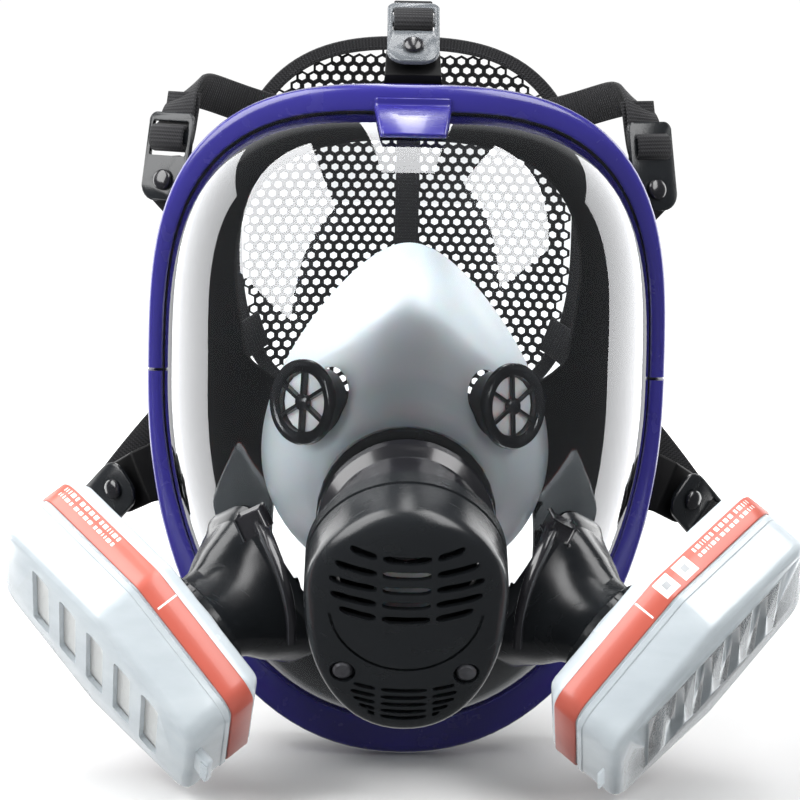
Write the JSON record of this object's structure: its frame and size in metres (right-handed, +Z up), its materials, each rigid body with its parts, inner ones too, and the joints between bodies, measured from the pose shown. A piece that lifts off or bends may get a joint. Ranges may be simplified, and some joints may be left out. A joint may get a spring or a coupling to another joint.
{
  "type": "full face respirator",
  "caption": "Full face respirator: domed clear visor in a blue frame, nose cup, louvred front unit, side bayonet filters and a strapped head net.",
  "frame": {"origin": "centre of the face opening, on the plane of the seal's side edges", "axes": "+X to the right seen from the front, +Y from the visor towards the wearer's head, +Z up"},
  "size_m": [0.288, 0.2269, 0.2817],
  "materials": {
    "visor": "clear moulded polycarbonate, polished",
    "frame": "moulded nylon, semi-gloss",
    "seal": "smooth matte silicone rubber",
    "cup": "translucent silicone, satin",
    "black_plastic": "moulded, semi-gloss",
    "valve_rubber": "thin soft silicone",
    "cartridge": "moulded, satin",
    "label": "printed film",
    "cap": "clear moulding",
    "prefilter": "felted fibre",
    "gasket": "matte",
    "steel": "bright",
    "stud": "moulded, glossy",
    "buckle": "moulded, glossy",
    "buckle_top": "smoky translucent moulding",
    "webbing": "woven polyester",
    "net": "open knitted mesh"
  },
  "bodies": {
    "facepiece": {"visor": "visor", "frame_upper": "frame", "frame_lower": "frame", "frame_screw_left": "steel", "frame_screw_right": "steel", "face_seal": "seal", "nose_cup": "cup", "cup_valve_seat_left": "black_plastic", "cup_valve_seat_right": "black_plastic", "centre_adapter": "black_plastic", "adapter_nut": "black_plastic", "valve_plate": "black_plastic", "speech_diaphragm": "steel", "front_cover": "black_plastic", "cover_screw_left": "steel", "cover_screw_right": "steel", "port_housing_left": "black_plastic", "port_housing_right": "black_plastic", "port_gasket_left": "gasket", "port_gasket_right": "gasket", "inlet_seat_left": "black_plastic", "inlet_seat_right": "black_plastic", "harness_pad": "net", "stud_top": "stud", "strap_top": "webbing", "stud_upper_left": "stud", "strap_upper_left": "webbing", "stud_upper_right": "stud", "strap_upper_right": "webbing", "stud_lower_left": "stud", "strap_lower_left": "webbing", "stud_lower_right": "stud", "strap_lower_right": "webbing"},
    "filter_left": {"cartridge_left": "cartridge", "label_band_left": "label", "prefilter_left": "prefilter"},
    "cap_left": {"retainer_cap_left": "cap"},
    "inlet_valve_left": {"inlet_flap_left": "valve_rubber"},
    "cup_valve_left": {"cup_valve_flap_left": "valve_rubber"},
    "filter_right": {"cartridge_right": "cartridge", "label_band_right": "label", "prefilter_right": "prefilter"},
    "cap_right": {"retainer_cap_right": "cap"},
    "inlet_valve_right": {"inlet_flap_right": "valve_rubber"},
    "cup_valve_right": {"cup_valve_flap_right": "valve_rubber"},
    "exhalation_valve": {"exhalation_flap": "valve_rubber"},
    "buckle_top": {"buckle_top": "buckle_top", "strap_loop_top": "webbing"},
    "buckle_upper_left": {"buckle_upper_left": "buckle", "strap_loop_upper_left": "webbing"},
    "buckle_upper_right": {"buckle_upper_right": "buckle", "strap_loop_upper_right": "webbing"},
    "buckle_lower_left": {"buckle_lower_left": "buckle", "strap_loop_lower_left": "webbing"},
    "buckle_lower_right": {"buckle_lower_right": "buckle", "strap_loop_lower_right": "webbing"}
  },
  "joints": [
    {"name": "filter_left_twist", "type": "hinge", "parent": "facepiece", "child": "filter_left", "pos_m": [-0.0732, -0.107, -0.082], "axis": [-0.7382, -0.419, -0.5287], "range_deg": [0, 50]},
    {"name": "cap_left_pull", "type": "slide", "parent": "filter_left", "child": "cap_left", "axis": [-0.7382, -0.419, -0.5287], "range_m": [0, 0.014]},
    {"name": "inlet_valve_left_lift", "type": "slide", "parent": "facepiece", "child": "inlet_valve_left", "axis": [0.7382, 0.419, 0.5287], "range_m": [0, 0.0015], "stiffness_N_per_m": 60},
    {"name": "cup_valve_left_lift", "type": "slide", "parent": "facepiece", "child": "cup_valve_left", "axis": [0.67, 0.74, -0.06], "range_m": [0, 0.0015], "stiffness_N_per_m": 60},
    {"name": "filter_right_twist", "type": "hinge", "parent": "facepiece", "child": "filter_right", "pos_m": [0.0732, -0.107, -0.082], "axis": [0.7382, -0.419, -0.5287], "range_deg": [-50, 0]},
    {"name": "cap_right_pull", "type": "slide", "parent": "filter_right", "child": "cap_right", "axis": [0.7382, -0.419, -0.5287], "range_m": [0, 0.014]},
    {"name": "inlet_valve_right_lift", "type": "slide", "parent": "facepiece", "child": "inlet_valve_right", "axis": [-0.7382, 0.419, 0.5287], "range_m": [0, 0.0015], "stiffness_N_per_m": 60},
    {"name": "cup_valve_right_lift", "type": "slide", "parent": "facepiece", "child": "cup_valve_right", "axis": [-0.67, 0.74, -0.06], "range_m": [0, 0.0015], "stiffness_N_per_m": 60},
    {"name": "exhalation_valve_lift", "type": "slide", "parent": "facepiece", "child": "exhalation_valve", "axis": [0, -0.9135, -0.4067], "range_m": [0, 0.0015], "stiffness_N_per_m": 60},
    {"name": "buckle_top_swivel", "type": "hinge", "parent": "facepiece", "child": "buckle_top", "pos_m": [0, -0.03381, 0.12177], "axis": [0, -0.6222, 0.7828], "range_deg": [-25, 25]},
    {"name": "buckle_upper_left_swivel", "type": "hinge", "parent": "facepiece", "child": "buckle_upper_left", "pos_m": [-0.09232, -0.01252, 0.07058], "axis": [-0.4541, -0.8678, 0.2018], "range_deg": [-25, 25]},
    {"name": "buckle_upper_right_swivel", "type": "hinge", "parent": "facepiece", "child": "buckle_upper_right", "pos_m": [0.09232, -0.01252, 0.07058], "axis": [0.4541, -0.8678, 0.2018], "range_deg": [-25, 25]},
    {"name": "buckle_lower_left_swivel", "type": "hinge", "parent": "facepiece", "child": "buckle_lower_left", "pos_m": [-0.10982, -0.00724, -0.04829], "axis": [-0.6289, -0.7709, -0.1014], "range_deg": [-25, 25]},
    {"name": "buckle_lower_right_swivel", "type": "hinge", "parent": "facepiece", "child": "buckle_lower_right", "pos_m": [0.10982, -0.00724, -0.04829], "axis": [0.6289, -0.7709, -0.1014], "range_deg": [-25, 25]}
  ]
}
